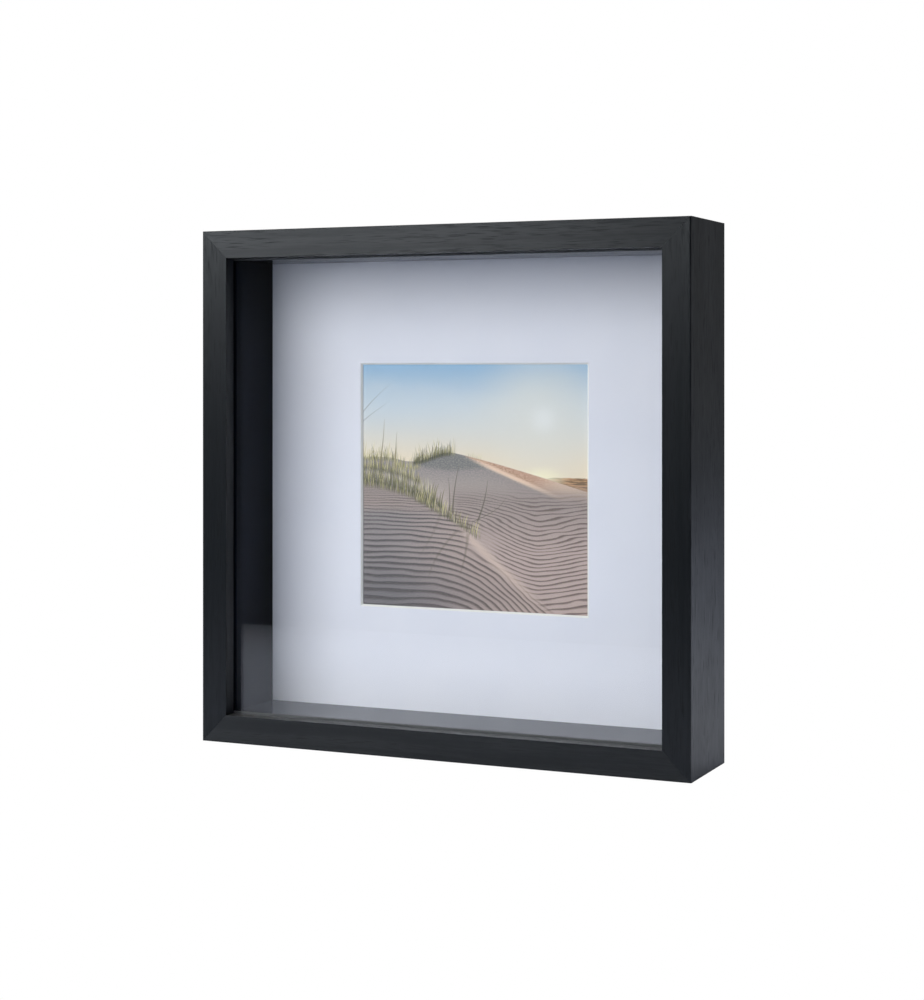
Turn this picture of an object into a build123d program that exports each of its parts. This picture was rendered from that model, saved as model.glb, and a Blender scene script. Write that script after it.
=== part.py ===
from build123d import *
import os

# A deep, square, glazed display frame. Four mitred rails of L section hold, from the front: the glass,
# four spacer strips, a window mat, the print, a backing board and a back panel. Eight turn buttons
# hold the panel in, and two D-ring hangers on the panel carry the frame on a wall.
# +X is to the right as the frame is looked at, -Y is the front, +Z is up. The origin is the centre of
# the flat underside that the frame stands on.

os.makedirs("parts", exist_ok=True)

# Driving dimensions, millimetres
side = 250.0  # outer width and height
depth = 51.0  # front face to the back of the rails
face_width = 13.4  # rail seen from the front
lip_thickness = 7.2  # part of the rail in front of the glass
wall_thickness = 9.2  # part of the rail outside the rebate
mitre_gap = 0.03  # hairline that stays open at a mitre, on each rail
front_edge_radius = 0.7
sight_edge_radius = 0.5
back_edge_radius = 0.4

glass_thickness = 2.0
glass_play = 0.5  # between the glass edge and the rebate
glass_seam = 0.25  # ground edge of the glass
mat_setback = 45.0  # front face of the rails to the front of the mat
spacer_play = 0.2
spacer_thickness = 5.0
mat_thickness = 1.2
mat_land = 0.3  # upright edge left at the foot of the mat's bevel
window_size = 119.2  # clear opening in the mat
board_play = 0.5
print_size = 150.0
print_thickness = 0.3
tape_thickness = 0.15
tape_width = 20.0
tape_on_mat = 12.0
tape_on_print = 9.0
tape_spacing = 80.0
panel_thickness = 2.5
panel_edge_radius = 0.3

button_offset = 60.0  # each side of the middle of a rail
button_thickness = 1.0
button_edge_radius = 0.25
button_pivot_radius = 3.9
button_tip_radius = 3.0
button_reach = 15.0  # pivot to the centre of the tip
button_lift = 0.3  # plate above the back face
button_boss_radius = 2.6
button_rib_length = 7.0
button_rib_width = 1.6
button_rib_height = 0.35
running_gap = 0.05  # between faces that turn on each other
screw_radius = 1.6
screw_running_clearance = 0.06  # radial, screw shank in button
screw_head_radius = 3.0
screw_head_height = 1.5
screw_rim_height = 0.75  # straight rim below the dome of the head
screw_depth = 12.0  # in the wood
screw_tip = 2.2
recess_width = 0.7
recess_length = 3.4
recess_depth = 0.8

nail_leg = 5.5
nail_inset = 3.2  # apex of the V from both outer faces
nail_thickness = 0.5
nail_height = 7.0
nail_sink = 0.3

hanger_spacing = 110.0
hanger_height = 185.0  # eye above the underside
ring_wire_radius = 1.0
ring_running_clearance = 0.08
ring_half_width = 8.0
ring_straight = 8.0  # straight leg from the bar to the round end
ring_corner_radius = 2.2
strap_thickness = 0.8
strap_width = 8.0
strap_length = 9.0  # eye to the end of the plate
strap_end_radius = 2.6
strap_joggle = 0.3
strap_ramp_start = 0.8
strap_ramp_end = 2.6
rivet_radius = 1.6
rivet_below_eye = 6.0
rivet_head_radius = 2.4
rivet_head_height = 1.1
rivet_tail_radius = 2.6
rivet_tail_height = 0.8

bumper_radius = 4.0
bumper_thickness = 4.5
bumper_offset = 108.0
bumper_edge_radius = 0.9

# Places worked out from them
half = side / 2
middle_z = half
front_y = -depth / 2
back_y = depth / 2
rebate_half = half - wall_thickness
sight_half = half - face_width
glass_front_y = front_y + lip_thickness
glass_back_y = glass_front_y + glass_thickness
mat_front_y = front_y + mat_setback
mat_back_y = mat_front_y + mat_thickness
print_back_y = mat_back_y + print_thickness
board_front_y = print_back_y + tape_thickness
panel_front_y = back_y - panel_thickness
board_size = 2 * (rebate_half - board_play)
pivot_inset = wall_thickness / 2
button_back_y = back_y + button_lift
button_top_y = button_back_y + button_thickness
screw_head_y = button_top_y + running_gap
eye_inner_radius = ring_wire_radius + ring_running_clearance
eye_outer_radius = eye_inner_radius + strap_thickness
eye_y = back_y + strap_joggle + eye_outer_radius
hanger_x = {"left": -hanger_spacing / 2, "right": hanger_spacing / 2}
to_front = Vector(0, -1, 0)
to_back = Vector(0, 1, 0)

# Each rail has a direction along its length and one towards the middle of the frame
rail_directions = {
    "bottom": (Vector(1, 0, 0), Vector(0, 0, 1)),
    "right": (Vector(0, 0, 1), Vector(-1, 0, 0)),
    "top": (Vector(-1, 0, 0), Vector(0, 0, -1)),
    "left": (Vector(0, 0, -1), Vector(1, 0, 0)),
}


def on_rail(inward, inset=0.0, along=None, run=0.0, y=0.0):
    """Point of a rail: inset from its outer face, run along it from its middle, at depth y."""
    point = Vector(0, y, middle_z) - inward * (half - inset)
    return point if along is None else point + along * run


def button_pivots():
    """Name, pivot point, direction along the rail and inward direction of each turn button."""
    for place, (along, inward) in rail_directions.items():
        first, second = ("left", "right") if place in ("bottom", "top") else ("lower", "upper")
        for run in (-button_offset, button_offset):
            pivot = on_rail(inward, pivot_inset, along, run)
            ahead = pivot.X > 0 if place in ("bottom", "top") else pivot.Z > middle_z
            yield f"turn_button_{place}_{second if ahead else first}", pivot, along, inward


def at_depth(point, y):
    """The same place across the frame, at depth y."""
    return Vector(point.X, y, point.Z)


# V-nails, one across the back of each mitre: each leg lies in one of the two rails
with BuildPart() as corner_v_nails:
    for x_sign in (-1, 1):
        for z_sign in (-1, 1):
            apex_x = x_sign * (half - nail_inset)
            apex_z = middle_z + z_sign * (half - nail_inset)
            apex = Vector(apex_x, back_y - nail_sink, apex_z)
            with BuildSketch(Plane(origin=apex, x_dir=(-x_sign, 0, 0), z_dir=to_front)):
                leg_turn = x_sign * z_sign
                with Locations((nail_leg / 2, 0)):
                    Rectangle(nail_leg + nail_thickness, nail_thickness)
                with Locations((0, leg_turn * nail_leg / 2)):
                    Rectangle(nail_thickness, nail_leg + nail_thickness)
            extrude(amount=nail_height)
corner_v_nails.part.label = "corner_v_nails"
export_step(corner_v_nails.part, "parts/corner_v_nails.step")


# Rails: one moulding, mitred at both ends, with the holes of its two button screws
for place, (along, inward) in rail_directions.items():
    with BuildPart() as rail:
        with BuildSketch(Plane(origin=on_rail(inward), x_dir=(0, 1, 0), z_dir=along)) as rail_profile:
            with BuildLine():
                Polyline(
                    (front_y, 0),
                    (back_y, 0),
                    (back_y, wall_thickness),
                    (glass_front_y, wall_thickness),
                    (glass_front_y, face_width),
                    (front_y, face_width),
                    close=True,
                )
            make_face()
            corners = rail_profile.vertices().group_by(Axis.X)
            front_corners = corners[0].sort_by(Axis.Y)
            back_corners = corners[-1]
            fillet(front_corners[0], radius=front_edge_radius)
            fillet(front_corners[-1], radius=sight_edge_radius)
            fillet(back_corners, radius=back_edge_radius)
        extrude(amount=half, both=True)
        for end in (-1, 1):
            mitre_foot = on_rail(inward, 0, along, end * (half - mitre_gap))
            split(bisect_by=Plane(origin=mitre_foot, z_dir=along * end + inward), keep=Keep.BOTTOM)
        for run in (-button_offset, button_offset):
            hole_mouth = on_rail(inward, pivot_inset, along, run, back_y)
            with BuildSketch(Plane(origin=hole_mouth, x_dir=along, z_dir=to_front)):
                Circle(screw_radius)
            extrude(amount=screw_depth, mode=Mode.SUBTRACT)
        add(corner_v_nails.part, mode=Mode.SUBTRACT)
    rail.part.label = f"rail_{place}"
    export_step(rail.part, f"parts/rail_{place}.step")


# Glass behind the lip
with BuildPart() as glass_pane:
    with BuildSketch(Plane(origin=(0, glass_front_y, middle_z), x_dir=(1, 0, 0), z_dir=to_back)):
        Rectangle(2 * (rebate_half - glass_play), 2 * (rebate_half - glass_play))
    extrude(amount=glass_thickness)
    chamfer(glass_pane.edges(), length=glass_seam)
glass_pane.part.label = "glass_pane"
export_step(glass_pane.part, "parts/glass_pane.step")


# Spacer strips: the top and bottom ones run the full width, the side ones stand between them
spacer_outer_half = rebate_half - spacer_play
spacer_inset = wall_thickness + spacer_play
for place, (along, inward) in rail_directions.items():
    full_width = place in ("bottom", "top")
    strip_length = 2 * (spacer_outer_half if full_width else spacer_outer_half - spacer_thickness)
    with BuildPart() as spacer:
        strip_face = on_rail(inward, spacer_inset + spacer_thickness / 2, y=glass_back_y)
        with BuildSketch(Plane(origin=strip_face, x_dir=along, z_dir=to_back)):
            Rectangle(strip_length, spacer_thickness)
        extrude(amount=mat_front_y - glass_back_y)
    spacer.part.label = f"spacer_{place}"
    export_step(spacer.part, f"parts/spacer_{place}.step")


# Mat with a square window, cut at 45 degrees so that its white core shows
with BuildPart() as window_mat:
    with BuildSketch(Plane(origin=(0, mat_back_y, middle_z), x_dir=(1, 0, 0), z_dir=to_front)):
        Rectangle(board_size, board_size)
        Rectangle(window_size, window_size, mode=Mode.SUBTRACT)
    extrude(amount=mat_thickness)
    front_edges = window_mat.faces().sort_by(Axis.Y)[0].inner_wires()[0].edges()
    chamfer(front_edges, length=mat_thickness - mat_land)
window_mat.part.label = "window_mat"
export_step(window_mat.part, "parts/window_mat.step")


# Print, hung behind the mat by two tape hinges that step over its top edge
with BuildPart() as art_print:
    with BuildSketch(Plane(origin=(0, mat_back_y, middle_z), x_dir=(1, 0, 0), z_dir=to_back)):
        Rectangle(print_size, print_size)
    extrude(amount=print_thickness)
art_print.part.label = "art_print"
export_step(art_print.part, "parts/art_print.step")

print_top = print_size / 2
tape_step = print_thickness + tape_thickness
with BuildPart() as print_hinge_tapes:
    for x in (-tape_spacing / 2, tape_spacing / 2):
        tape_side = Plane(origin=(x, mat_back_y, middle_z), x_dir=(0, 1, 0), z_dir=(1, 0, 0))
        with BuildSketch(tape_side):
            with BuildLine():
                Polyline(
                    (print_thickness, print_top - tape_on_print),
                    (tape_step, print_top - tape_on_print),
                    (tape_step, print_top + tape_thickness),
                    (tape_thickness, print_top + tape_thickness),
                    (tape_thickness, print_top + tape_on_mat),
                    (0, print_top + tape_on_mat),
                    (0, print_top),
                    (print_thickness, print_top),
                    close=True,
                )
            make_face()
        extrude(amount=tape_width / 2, both=True)
print_hinge_tapes.part.label = "print_hinge_tapes"
export_step(print_hinge_tapes.part, "parts/print_hinge_tapes.step")


# Backing board and back panel
with BuildPart() as backing_board:
    with BuildSketch(Plane(origin=(0, board_front_y, middle_z), x_dir=(1, 0, 0), z_dir=to_back)):
        Rectangle(board_size, board_size)
    extrude(amount=panel_front_y - board_front_y)
backing_board.part.label = "backing_board"
export_step(backing_board.part, "parts/backing_board.step")

rivet_height = hanger_height - rivet_below_eye
with BuildPart() as back_panel:
    with BuildSketch(Plane(origin=(0, panel_front_y, middle_z), x_dir=(1, 0, 0), z_dir=to_back)):
        Rectangle(board_size, board_size)
    extrude(amount=panel_thickness)
    fillet(back_panel.faces().sort_by(Axis.Y)[-1].edges(), radius=panel_edge_radius)
    for x in hanger_x.values():
        with BuildSketch(Plane(origin=(x, panel_front_y, rivet_height), z_dir=to_back)):
            Circle(rivet_radius)
        extrude(amount=panel_thickness, mode=Mode.SUBTRACT)
        with BuildSketch(Plane(origin=(x, panel_front_y, rivet_height), z_dir=to_back)):
            Circle(rivet_tail_radius)
        extrude(amount=rivet_tail_height, mode=Mode.SUBTRACT)
back_panel.part.label = "back_panel"
export_step(back_panel.part, "parts/back_panel.step")


# Turn buttons: stamped plates that pivot on the rails and reach over the back panel
for button_name, pivot, _, inward in button_pivots():
    plate_plane = Plane(origin=at_depth(pivot, button_back_y), x_dir=inward, z_dir=to_back)
    with BuildPart() as turn_button:
        with BuildSketch(plate_plane):
            Circle(button_pivot_radius)
            with Locations((button_reach, 0)):
                Circle(button_tip_radius)
            make_hull()
        extrude(amount=button_thickness)
        fillet(turn_button.faces().sort_by(Axis.Y)[-1].edges(), radius=button_edge_radius)
        with BuildSketch(plate_plane.offset(button_thickness)):
            with Locations((button_reach / 2 + button_tip_radius, 0)):
                SlotOverall(button_rib_length, button_rib_width)
        extrude(amount=button_rib_height)
        with BuildSketch(Plane(origin=at_depth(pivot, back_y + running_gap), z_dir=to_back)):
            Circle(button_boss_radius)
        extrude(amount=button_lift - running_gap)
        with BuildSketch(Plane(origin=at_depth(pivot, back_y), z_dir=to_back)):
            Circle(screw_radius + screw_running_clearance)
        extrude(amount=button_lift + button_thickness, mode=Mode.SUBTRACT)
    turn_button.part.label = button_name
    export_step(turn_button.part, f"parts/{button_name}.step")


# Their screws: pan head with a cross recess, plain shank and a point
with BuildPart() as turn_button_screws:
    for _, pivot, along, _ in button_pivots():
        with BuildSketch(Plane(origin=at_depth(pivot, 0), x_dir=along, z_dir=along.cross(to_back))):
            with BuildLine():
                point_y = back_y - screw_depth
                point_edge = Line((0, point_y), (screw_radius, point_y + screw_tip))
                shank_edge = Line(point_edge @ 1, (screw_radius, screw_head_y))
                seat = Line(shank_edge @ 1, (screw_head_radius, screw_head_y))
                rim = Line(seat @ 1, (screw_head_radius, screw_head_y + screw_rim_height))
                dome_radius = screw_head_height - screw_rim_height
                dome = JernArc(start=rim @ 1, tangent=(0, 1), radius=dome_radius, arc_size=90)
                crown = Line(dome @ 1, (0, screw_head_y + screw_head_height))
                Line(crown @ 1, point_edge @ 0)
            make_face()
        revolve(axis=Axis(at_depth(pivot, 0), to_back))
        recess_y = screw_head_y + screw_head_height - recess_depth
        with BuildSketch(Plane(origin=at_depth(pivot, recess_y), x_dir=along, z_dir=to_back)):
            Rectangle(recess_length, recess_width)
            Rectangle(recess_width, recess_length)
        extrude(amount=recess_depth, mode=Mode.SUBTRACT)
turn_button_screws.part.label = "turn_button_screws"
export_step(turn_button_screws.part, "parts/turn_button_screws.step")


# Hangers: a strap with a rolled eye, a D-ring that swings in it, and the rivet through strap and panel
for place, x in hanger_x.items():
    eye_plane = Plane(origin=(x, eye_y, hanger_height), x_dir=(0, 1, 0), z_dir=(1, 0, 0))
    plate_back = back_y - eye_y
    with BuildPart() as hanger_strap:
        with BuildSketch(eye_plane):
            with BuildLine():
                Polyline(
                    (plate_back, -strap_length),
                    (plate_back + strap_thickness, -strap_length),
                    (plate_back + strap_thickness, -strap_ramp_end),
                    (plate_back + strap_thickness + strap_joggle, -strap_ramp_start),
                    (plate_back + strap_thickness + strap_joggle, 0),
                    (plate_back + strap_joggle, 0),
                    (plate_back + strap_joggle, -strap_ramp_start),
                    (plate_back, -strap_ramp_end),
                    close=True,
                )
            make_face()
            Circle(eye_outer_radius)
            Circle(eye_inner_radius, mode=Mode.SUBTRACT)
        extrude(amount=strap_width / 2, both=True)
        end_edges = hanger_strap.edges().filter_by(Axis.Y).group_by(Axis.Z)[0]
        fillet(end_edges, radius=strap_end_radius)
        with BuildSketch(Plane(origin=(x, back_y, rivet_height), z_dir=to_back)):
            Circle(rivet_radius)
        extrude(amount=strap_thickness, mode=Mode.SUBTRACT)
    hanger_strap.part.label = f"hanger_strap_{place}"
    export_step(hanger_strap.part, f"parts/hanger_strap_{place}.step")

    ring_plane = Plane(origin=(x, eye_y, hanger_height), x_dir=(1, 0, 0), z_dir=to_front)
    with BuildPart() as hanger_ring:
        with BuildLine(ring_plane) as ring_path:
            bar_end = ring_half_width - ring_corner_radius
            bar = Line((-bar_end, 0), (bar_end, 0))
            leg = Vector(0, 0, ring_straight - ring_corner_radius)
            right_bend = JernArc(start=bar @ 1, tangent=(1, 0), radius=ring_corner_radius, arc_size=-90)
            right_leg = Line(right_bend @ 1, right_bend @ 1 - leg)
            round_end = JernArc(start=right_leg @ 1, tangent=(0, -1), radius=ring_half_width, arc_size=-180)
            left_leg = Line(round_end @ 1, round_end @ 1 + leg)
            JernArc(start=left_leg @ 1, tangent=(0, 1), radius=ring_corner_radius, arc_size=-90)
        with BuildSketch(Plane(origin=bar @ 0, z_dir=bar % 0)):
            Circle(ring_wire_radius)
        sweep(path=ring_path.wires()[0])
    hanger_ring.part.label = f"hanger_ring_{place}"
    export_step(hanger_ring.part, f"parts/hanger_ring_{place}.step")

with BuildPart() as hanger_rivets:
    for x in hanger_x.values():
        head_seat = back_y + strap_thickness
        head_top = head_seat + rivet_head_height
        with BuildSketch(Plane(origin=(x, 0, rivet_height), x_dir=(1, 0, 0), z_dir=(0, 0, 1))):
            with BuildLine():
                Polyline(
                    (0, head_top),
                    (0, panel_front_y),
                    (rivet_tail_radius, panel_front_y),
                    (rivet_tail_radius, panel_front_y + rivet_tail_height),
                    (rivet_radius, panel_front_y + rivet_tail_height),
                    (rivet_radius, head_seat),
                    (rivet_head_radius, head_seat),
                )
                TangentArc((0, head_top), (rivet_head_radius, head_seat), tangent=(1, 0))
            make_face()
        revolve(axis=Axis((x, 0, rivet_height), to_back))
hanger_rivets.part.label = "hanger_rivets"
export_step(hanger_rivets.part, "parts/hanger_rivets.step")


# Soft bumpers that keep the lower edge off the wall
with BuildPart() as wall_bumpers:
    for x in (-bumper_offset, bumper_offset):
        with BuildSketch(Plane(origin=(x, back_y, pivot_inset), z_dir=to_back)):
            Circle(bumper_radius)
        extrude(amount=bumper_thickness)
    outer_faces = wall_bumpers.faces().filter_by(GeomType.PLANE).group_by(Axis.Y)[-1]
    fillet(outer_faces.edges(), radius=bumper_edge_radius)
wall_bumpers.part.label = "wall_bumpers"
export_step(wall_bumpers.part, "parts/wall_bumpers.step")
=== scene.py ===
"""Looks of a deep square display frame: black stained ash rails, glass, black spacer strips, a white
window mat, a dune print, and the fittings of its back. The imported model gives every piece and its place."""
import logging
import math
from abc import ABC, abstractmethod
from collections.abc import Callable
from dataclasses import dataclass, field
from enum import Enum

import bpy
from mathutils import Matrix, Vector


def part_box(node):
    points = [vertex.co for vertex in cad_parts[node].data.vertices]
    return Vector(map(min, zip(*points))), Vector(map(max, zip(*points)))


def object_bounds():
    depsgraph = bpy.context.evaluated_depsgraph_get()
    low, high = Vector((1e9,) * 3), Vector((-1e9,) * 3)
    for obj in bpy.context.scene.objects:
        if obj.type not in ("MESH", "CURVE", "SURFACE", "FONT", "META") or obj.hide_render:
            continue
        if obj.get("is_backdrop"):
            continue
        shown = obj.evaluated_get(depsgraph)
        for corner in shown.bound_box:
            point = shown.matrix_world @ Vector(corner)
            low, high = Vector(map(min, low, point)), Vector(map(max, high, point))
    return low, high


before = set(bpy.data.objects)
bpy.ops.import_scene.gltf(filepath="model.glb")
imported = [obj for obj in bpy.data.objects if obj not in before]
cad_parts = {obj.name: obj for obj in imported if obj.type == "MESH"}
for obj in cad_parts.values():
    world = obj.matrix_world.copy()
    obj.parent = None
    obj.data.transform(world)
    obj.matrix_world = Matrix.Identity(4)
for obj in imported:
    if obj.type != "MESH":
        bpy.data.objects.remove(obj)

Number = float | int
Colour = tuple[float, float, float]
Node = bpy.types.Node
Socket = bpy.types.NodeSocket
Tree = bpy.types.NodeTree
Material = bpy.types.Material

MM = 0.001
# Pale dust colour; on the bottom rail's lip it is also painted light, a top face lit from above.
DUST_AND_LIT_TOP: Colour = (0.30, 0.29, 0.28)
WHITE: Colour = (1.0, 1.0, 1.0)
log = logging.getLogger("display_frame")


def linear(red: int, green: int, blue: int, gain: float = 1.0) -> Colour:
    """Turns display red, green and blue, 0 to 255, into the linear colour that shaders take, times gain."""
    shares = (part / 255 for part in (red, green, blue))
    made = [s / 12.92 if s <= 0.04045 else ((s + 0.055) / 1.055) ** 2.4 for s in shares]
    return tuple(min(1.0, part * gain) for part in made)


# Shader graphs


def arithmetic(operation: str, swapped: bool = False) -> Callable[..., "Field"]:
    """Makes a method of Field that adds one Math node. With swapped, the other value comes first."""
    def method(self: "Field", other: "Field | Number | None" = None) -> "Field":
        """Adds the node and returns its value."""
        first, second = (other, self) if swapped else (self, other)
        return self.graph.math(operation, first, second)

    return method


@dataclass(frozen=True)
class Field:
    """A value that changes over a surface: one output socket, with arithmetic.

    A value's whole is the whole number below it, its fraction is what is over that, and log takes a base.
    """

    graph: "Graph"
    socket: Socket

    __add__ = __radd__ = arithmetic("ADD")
    __sub__ = arithmetic("SUBTRACT")
    __rsub__ = arithmetic("SUBTRACT", swapped=True)
    __mul__ = __rmul__ = arithmetic("MULTIPLY")
    __truediv__ = arithmetic("DIVIDE")
    __pow__ = arithmetic("POWER")
    __abs__ = arithmetic("ABSOLUTE")
    at_least = arithmetic("MAXIMUM")
    at_most = arithmetic("MINIMUM")
    root = arithmetic("SQRT")
    whole = arithmetic("FLOOR")
    fraction = arithmetic("FRACT")
    log = arithmetic("LOGARITHM")

    def ramp(self, start: Number, end: Number) -> "Field":
        """Rises smoothly from 0 at start to 1 at end. With start above end it falls instead."""
        falls = start > end
        low, high = (end, start) if falls else (start, end)
        span = {"From Min": low, "From Max": high, "To Min": float(falls), "To Max": 1.0 - falls}
        made = self.graph.add("MapRange", {"Value": self, **span}, interpolation_type="SMOOTHSTEP")
        return Field(self.graph, made.outputs["Result"])


class Graph:
    """Adds nodes to one shader tree and links them.

    Args:
        tree: The node tree of a material, a world or a node group.
    """

    def __init__(self, tree: Tree) -> None:
        """Keeps the tree."""
        self.tree = tree

    def add(self, kind: str, inputs: dict | None = None, **settings: object) -> Node:
        """Adds one node.

        Args:
            kind: Blender's name of the node, without "ShaderNode".
            inputs: Value, Field or socket for each named or numbered input.
            settings: Properties of the node itself.

        Returns:
            The new node.
        """
        node = self.tree.nodes.new("ShaderNode" + kind)
        for name, value in settings.items():
            setattr(node, name, value)
        self.feed_all(node, inputs or {})
        return node

    def feed_all(self, node: Node, inputs: dict) -> None:
        """Feeds several inputs of a node, by name or number."""
        for name, value in inputs.items():
            self.feed(node.inputs[name], value)

    def feed(self, socket: Socket, value: object) -> None:
        """Links a Field or socket to an input, or sets the input to a plain value."""
        if isinstance(value, Field):
            value = value.socket
        if isinstance(value, Socket):
            self.tree.links.new(value, socket)
        elif isinstance(value, tuple) and len(value) == 3 and socket.type == "RGBA":
            socket.default_value = (*value, 1.0)
        else:
            socket.default_value = value

    def math(self, operation: str, first: object, second: object = None) -> Field:
        """Adds a Math node and returns its value."""
        inputs = {0: first} if second is None else {0: first, 1: second}
        return Field(self, self.add("Math", inputs, operation=operation).outputs[0])

    def mix(self, share: object, first: object, second: object) -> Socket:
        """Adds a colour Mix node and returns its colour."""
        node = self.add("Mix", data_type="RGBA")
        for socket, value in zip((node.inputs[0], node.inputs[6], node.inputs[7]), (share, first, second)):
            self.feed(socket, value)
        return node.outputs[2]

    def layers(self, ground: object, *coats: tuple[object, object]) -> Socket:
        """Lays colours over a ground one by one, each by a share of its own."""
        for share, colour in coats:
            ground = self.mix(share, ground, colour)
        return ground

    def here(self) -> Socket:
        """The place on the object, in metres."""
        return self.add("TexCoord").outputs["Object"]

    def facing(self) -> tuple[Field, Field, Field]:
        """The three parts of the surface's normal."""
        return self.split(self.add("NewGeometry").outputs["Normal"])

    def split(self, vector: object) -> tuple[Field, Field, Field]:
        """The three parts of a vector."""
        return tuple(Field(self, socket) for socket in self.add("SeparateXYZ", {0: vector}).outputs)

    def point(self, x: object, y: object, z: object) -> Socket:
        """Joins three values into a vector."""
        return self.add("CombineXYZ", {0: x, 1: y, 2: z}).outputs[0]

    def noise(self, vector: object, scale: float, detail: float = 2.0, rough: float = 0.5) -> Field:
        """Adds a Noise texture over a vector and returns its value, about 0.3 to 0.7."""
        inputs = {"Vector": vector, "Scale": scale, "Detail": detail, "Roughness": rough}
        return Field(self, self.add("TexNoise", inputs).outputs["Fac"])

    def chances(self, number: object) -> tuple[Field, Field, Field]:
        """Three random values for each whole number."""
        return self.split(self.add("TexWhiteNoise", {"W": number}, noise_dimensions="1D").outputs["Color"])

    def bump(self, height: object, strength: float, distance: float) -> Socket:
        """Adds a Bump node and returns its normal."""
        return self.add("Bump", {"Height": height, "Strength": strength, "Distance": distance}).outputs[0]

    def group(self, group: Tree, inputs: dict[str, object]) -> dict[str, Field]:
        """Places a node group, feeds its inputs and returns its outputs by name."""
        node = self.tree.nodes.new("ShaderNodeGroup")
        node.node_tree = group
        self.feed_all(node, inputs)
        return {socket.name: Field(self, socket) for socket in node.outputs}

    def seen(self) -> Socket:
        """1 where the camera sees the surface itself, else 0."""
        return self.add("LightPath").outputs["Is Camera Ray"]

    def finish(self, end: Node, share: object, under: Node, over: Node) -> None:
        """Mixes two shaders by a share and feeds them to an output node."""
        mixed = self.add("MixShader", {0: share, 1: under.outputs[0], 2: over.outputs[0]})
        self.feed(end.inputs["Surface"], mixed.outputs[0])

    def material_end(self) -> Node:
        """The material's output node."""
        return next(node for node in self.tree.nodes if node.type == "OUTPUT_MATERIAL")


class GroupBuilder:
    """Makes a shader node group with named sockets.

    Args:
        name: The group's name.
        inputs: Socket name to its default: a number, or None for a vector.
        outputs: Socket names, all of them values.
    """

    def __init__(self, name: str, inputs: dict[str, Number | None], outputs: tuple[str, ...]) -> None:
        """Makes the tree, its sockets and the two end nodes."""
        self.tree = bpy.data.node_groups.new(name, "ShaderNodeTree")
        self.graph = Graph(self.tree)
        for label, default in inputs.items():
            kind = "NodeSocketVector" if default is None else "NodeSocketFloat"
            socket = self.tree.interface.new_socket(label, in_out="INPUT", socket_type=kind)
            if default is not None:
                socket.default_value = default
        for label in outputs:
            self.tree.interface.new_socket(label, in_out="OUTPUT", socket_type="NodeSocketFloat")
        start = self.tree.nodes.new("NodeGroupInput")
        self.given = {label: Field(self.graph, start.outputs[label]) for label in inputs}
        self.end = self.tree.nodes.new("NodeGroupOutput")

    def give(self, name: str, value: Field) -> None:
        """Feeds one output of the group."""
        self.graph.feed(self.end.inputs[name], value)


def ash_grain_group() -> Tree:
    """Grain of ash that runs along X: its broad Figure, short open Pores and their Height, each 0 to 1."""
    builder = GroupBuilder("ash_grain", {"Vector": None}, ("Figure", "Pores", "Height"))
    graph = builder.graph
    x, y, z = graph.split(builder.given["Vector"])
    wander = (graph.noise(graph.point(x * 9.0, y * 30.0, z * 30.0), 1.0) - 0.5) * (4.0 * MM)
    across, deep = y + wander, z + wander

    def streaks(along: float, aside: float, detail: float, rough: float) -> Field:
        """Noise drawn out along the grain, with its rate along and aside."""
        return graph.noise(graph.point(x * along, across * aside, deep * aside), 1.0, detail, rough)

    bands = streaks(5.0, 210.0, 3.0, 0.6)
    fibres = streaks(48.0, 1900.0, 2.0, 0.65)
    dashes = streaks(105.0, 2400.0, 1.0, 0.5)
    figure = bands.ramp(0.32, 0.68)
    pores = dashes.ramp(0.54, 0.72) * (bands.ramp(0.34, 0.60) * 0.8 + 0.2)
    builder.give("Figure", figure)
    builder.give("Pores", pores)
    builder.give("Height", (fibres * 0.35 + figure * 0.25 + 0.4) * (1.0 - pores * 0.8))
    return builder.tree


def box_edge_group() -> Tree:
    """Wear, 0 to 1, in narrow strips along a box's twelve edges, where a finish wears first.

    Half X, Half Y and Half Z are half the box's sides, Vector is measured from its middle, and Width is
    how far the wear reaches.
    """
    sides = {f"Half {axis}": 0.1 for axis in "XYZ"}
    builder = GroupBuilder("box_edge_wear", {"Vector": None, **sides, "Width": 1.0 * MM}, ("Wear",))
    graph, given = builder.graph, builder.given
    gaps = [given[side] - abs(place) for side, place in zip(sides, graph.split(given["Vector"]))]
    least, most = gaps[0].at_most(gaps[1]), gaps[0].at_least(gaps[1])
    second = least.at_least(most.at_most(gaps[2]))
    patches = graph.noise(given["Vector"], 90.0, 3.0, 0.6).ramp(0.42, 0.66)
    near = (1.0 - second / given["Width"]).at_least(0.0)
    builder.give("Wear", near.at_most(1.0) * patches)
    return builder.tree


def paper_tooth_group() -> Tree:
    """Surface of paper and board: a soft Cloud and a fine Tooth of fibres, each 0 to 1."""
    builder = GroupBuilder("paper_tooth", {"Vector": None, "Fineness": 1.0}, ("Cloud", "Tooth"))
    graph, given = builder.graph, builder.given
    inputs = {0: given["Vector"], "Scale": given["Fineness"]}
    vector = graph.add("VectorMath", inputs, operation="SCALE").outputs[0]
    fibres = graph.noise(vector, 2600.0, 2.0, 0.7)
    felt = graph.noise(vector, 900.0, 2.0, 0.6)
    builder.give("Cloud", graph.noise(vector, 34.0, 3.0, 0.55).ramp(0.3, 0.7))
    builder.give("Tooth", (fibres * 0.6 + felt * 0.4).ramp(0.3, 0.7))
    return builder.tree


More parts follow.
